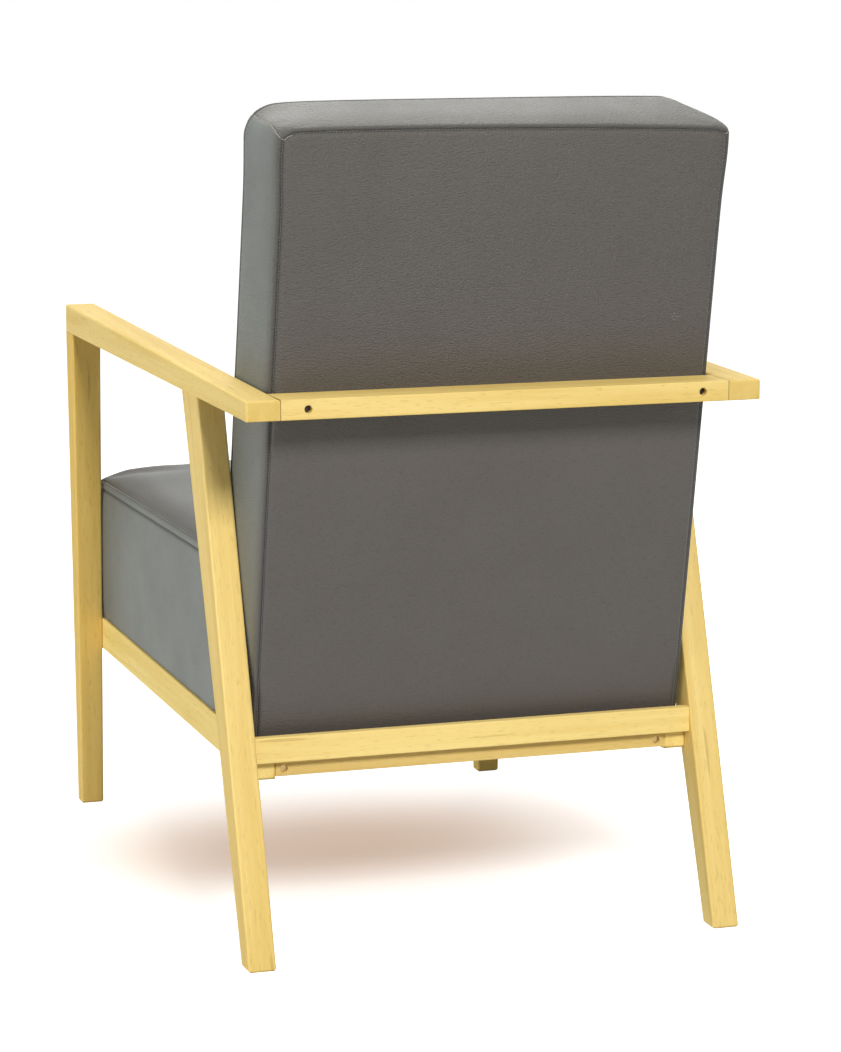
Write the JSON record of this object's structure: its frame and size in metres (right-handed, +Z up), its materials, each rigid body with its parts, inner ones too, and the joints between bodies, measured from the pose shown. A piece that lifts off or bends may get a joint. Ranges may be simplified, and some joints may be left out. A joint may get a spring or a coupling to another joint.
{
  "type": "lounge chair",
  "caption": "Low lounge armchair: pale lacquered wood frame with raked rear legs and flat arms, thick boxed seat and tall boxed leather back.",
  "frame": {"origin": "on the floor, in the middle of the chair's plan", "axes": "+Z up, the front of the chair faces -Y, +X is the sitter's left"},
  "size_m": [0.581, 0.836, 0.925],
  "materials": {
    "beech_arms": "satin clear lacquer, grain along the arms",
    "beech_legs": "satin clear lacquer, grain along the legs",
    "beech_cross_rails": "satin clear lacquer, grain across the chair",
    "beech_side_rails": "satin clear lacquer, grain front to rear",
    "frame_timber": "plain sawn, hidden",
    "dowel_wood": "plain, hidden",
    "back_leather": "grained upholstery leather",
    "seat_leather": "grained upholstery leather",
    "foam": "open-cell upholstery foam",
    "webbing": "elastic woven strap",
    "dust_cloth": "thin non-woven cloth",
    "screw_steel": "dark zinc"
  },
  "bodies": {
    "root": {"left_armrest": "beech_arms", "right_armrest": "beech_arms", "left_front_leg": "beech_legs", "right_front_leg": "beech_legs", "left_rear_leg": "beech_legs", "right_rear_leg": "beech_legs", "left_side_rail": "beech_side_rails", "right_side_rail": "beech_side_rails", "upper_back_rail": "beech_cross_rails", "front_seat_rail": "beech_cross_rails", "rear_frame_member": "beech_cross_rails", "rear_seat_rail": "beech_cross_rails", "left_front_corner_block": "frame_timber", "right_front_corner_block": "frame_timber", "left_rear_corner_block": "frame_timber", "right_rear_corner_block": "frame_timber", "arm_dowels": "dowel_wood", "upper_rail_dowels": "dowel_wood", "seat_rail_dowels": "dowel_wood", "rear_rail_dowels": "dowel_wood", "side_rail_bolts": "screw_steel", "unit_fixing_screws": "screw_steel", "back_fixing_screws": "screw_steel", "corner_block_screws": "screw_steel", "rear_rail_screws": "screw_steel", "back_rear_panel": "back_leather", "back_front_panel": "back_leather", "back_top_border": "back_leather", "left_back_border": "back_leather", "right_back_border": "back_leather", "left_back_stile": "frame_timber", "right_back_stile": "frame_timber", "back_top_rail": "frame_timber", "back_bottom_rail": "frame_timber", "back_webbing": "webbing", "back_foam": "foam", "seat_top_panel": "seat_leather", "seat_front_border": "seat_leather", "seat_rear_border": "seat_leather", "left_seat_border": "seat_leather", "right_seat_border": "seat_leather", "left_seat_board": "frame_timber", "right_seat_board": "frame_timber", "front_seat_board": "frame_timber", "rear_seat_board": "frame_timber", "seat_webbing": "webbing", "seat_foam": "foam", "seat_dust_cover": "dust_cloth"}
  },
  "joints": []
}
